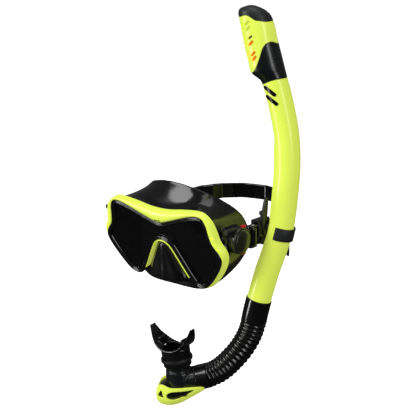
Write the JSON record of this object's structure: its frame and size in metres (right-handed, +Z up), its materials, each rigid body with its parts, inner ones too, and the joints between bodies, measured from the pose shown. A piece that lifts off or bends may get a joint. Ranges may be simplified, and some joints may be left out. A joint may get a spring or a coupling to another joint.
{
  "type": "dive mask and dry-top snorkel set",
  "caption": "Single-window dive mask with a nose pocket, swivel buckles and split strap, and a dry-top snorkel with a flexible hose clipped to the strap.",
  "frame": {"origin": "middle of the face seal, midway between the wearer's eyes, 30 mm behind the middle of the window", "axes": "+Z up as the mask is worn, -Y the way the wearer looks, +X towards the wearer's left, where the snorkel is"},
  "size_m": [0.2249, 0.2075, 0.4618],
  "materials": {
    "window": "tempered sheet glass with a dark tint",
    "rim_black": "injection-moulded black, gloss",
    "shell_yellow": "fluorescent yellow-green, satin gloss",
    "silicone_black": "black liquid silicone, polished",
    "buckle_black": "black, fine matt",
    "cover_olive": "very dark olive, gloss",
    "button_red": "red, gloss",
    "steel": "stainless, drawn",
    "keeper_black": "black, satin",
    "keeper_grey": "dark grey, satin",
    "dry_top_black": "black, semi-gloss",
    "cap_black": "black, moulded fine ribs",
    "float_orange": "orange foam, closed cell"
  },
  "bodies": {
    "mask": {"lens": "window", "lens_frame": "rim_black", "outer_frame": "shell_yellow", "nose_trim": "shell_yellow", "brow_catch": "rim_black", "skirt": "silicone_black", "side_arm_left": "buckle_black", "side_arm_right": "buckle_black"},
    "strap_set": {"strap": "silicone_black", "keeper_base": "keeper_black", "buckle_base_left": "buckle_black", "buckle_base_right": "buckle_black", "buckle_cover_left": "cover_olive", "buckle_cover_right": "cover_olive", "button_spring_left": "steel", "button_spring_right": "steel", "strap_bar_left": "steel", "strap_bar_right": "steel"},
    "button_top_left": {"button_top_left": "button_red"},
    "button_bottom_left": {"button_bottom_left": "button_red"},
    "strap_pawl_left": {"strap_pawl_left": "buckle_black"},
    "button_top_right": {"button_top_right": "button_red"},
    "button_bottom_right": {"button_bottom_right": "button_red"},
    "strap_pawl_right": {"strap_pawl_right": "buckle_black"},
    "keeper_tongue": {"keeper_tongue": "keeper_grey"},
    "keeper_slide": {"keeper_slide": "keeper_black"},
    "tube_clip": {"tube_clip": "keeper_black"},
    "snorkel": {"barrel": "shell_yellow", "inlay_upper": "dry_top_black", "inlay_lower": "dry_top_black", "collar": "dry_top_black", "splash_cover": "shell_yellow", "top_cap": "cap_black", "intake_seal": "silicone_black", "flap_pin": "steel", "hose": "silicone_black"},
    "float": {"float": "float_orange"},
    "intake_flap": {"intake_flap": "silicone_black"},
    "chamber": {"chamber": "dry_top_black", "purge_cover": "shell_yellow"},
    "purge_valve": {"purge_valve": "silicone_black"},
    "mouthpiece": {"mouthpiece": "silicone_black", "mouth_tie": "keeper_black"}
  },
  "joints": [
    {"name": "strap_swing", "type": "hinge", "parent": "mask", "child": "strap_set", "pos_m": [0, -0.005, 0.0165], "axis": [1, 0, 0], "range_deg": [-15, 20]},
    {"name": "press_top_left", "type": "slide", "parent": "strap_set", "child": "button_top_left", "axis": [0, 0, -1], "range_m": [0, 0.0015], "stiffness_N_per_m": 900, "springref_m": -0.0005, "deforming": ["button_spring_left"]},
    {"name": "press_bottom_left", "type": "slide", "parent": "strap_set", "child": "button_bottom_left", "axis": [0, 0, 1], "range_m": [0, 0.0015], "stiffness_N_per_m": 900, "springref_m": -0.0005, "deforming": ["button_spring_left"]},
    {"name": "pawl_draw_left", "type": "slide", "parent": "strap_set", "child": "strap_pawl_left", "axis": [0, -1, 0], "range_m": [0, 0.0006]},
    {"name": "press_top_right", "type": "slide", "parent": "strap_set", "child": "button_top_right", "axis": [0, 0, -1], "range_m": [0, 0.0015], "stiffness_N_per_m": 900, "springref_m": -0.0005, "deforming": ["button_spring_right"]},
    {"name": "press_bottom_right", "type": "slide", "parent": "strap_set", "child": "button_bottom_right", "axis": [0, 0, 1], "range_m": [0, 0.0015], "stiffness_N_per_m": 900, "springref_m": -0.0005, "deforming": ["button_spring_right"]},
    {"name": "pawl_draw_right", "type": "slide", "parent": "strap_set", "child": "strap_pawl_right", "axis": [0, -1, 0], "range_m": [0, 0.0006]},
    {"name": "tongue_press", "type": "hinge", "parent": "strap_set", "child": "keeper_tongue", "pos_m": [0.08855, 0.0375, 0.0218], "axis": [0, -1, 0], "range_deg": [0, 5], "stiffness_Nm_per_rad": 1},
    {"name": "keeper_release", "type": "slide", "parent": "strap_set", "child": "keeper_slide", "axis": [0, 0, 1], "range_m": [0, 0.005]},
    {"name": "clip_swivel", "type": "hinge", "parent": "keeper_slide", "child": "tube_clip", "pos_m": [0.092, 0.0438, 0.0195], "axis": [1, 0, 0], "range_deg": [-12, 12]},
    {"name": "tube_slide", "type": "slide", "parent": "tube_clip", "child": "snorkel", "axis": [0.1763, 0.1102, 0.9781], "range_m": [-0.004, 0.004]},
    {"name": "float_rise", "type": "slide", "parent": "snorkel", "child": "float", "axis": [-0.2409, -0.1505, 0.9588], "range_m": [0, 0.004]},
    {"name": "flap_close", "type": "hinge", "parent": "snorkel", "child": "intake_flap", "pos_m": [0.08379, 0.02824, 0.23882], "axis": [-0.5299, 0.848, 0], "range_deg": [0, 24.2]},
    {"name": "hose_flex", "type": "hinge", "parent": "snorkel", "child": "chamber", "pos_m": [0.0666, 0.0175, -0.125], "axis": [0.5299, -0.848, 0], "range_deg": [-12, 25], "stiffness_Nm_per_rad": 0.6, "deforming": ["hose"]},
    {"name": "purge_lift", "type": "slide", "parent": "chamber", "child": "purge_valve", "axis": [0, 0, -1], "range_m": [0, 0.001], "stiffness_N_per_m": 120},
    {"name": "mouth_swivel", "type": "hinge", "parent": "chamber", "child": "mouthpiece", "pos_m": [0.01275, -0.01615, -0.164], "axis": [-0.118, -0.0738, 0.9903], "range_deg": [-60, 60]}
  ],
  "couplings": [
    {"joint": "pawl_draw_left", "follows": "press_top_left", "ratio": 0.4},
    {"joint": "pawl_draw_right", "follows": "press_top_right", "ratio": 0.4},
    {"joint": "flap_close", "follows": "float_rise", "rad_per_m": 104.72}
  ]
}
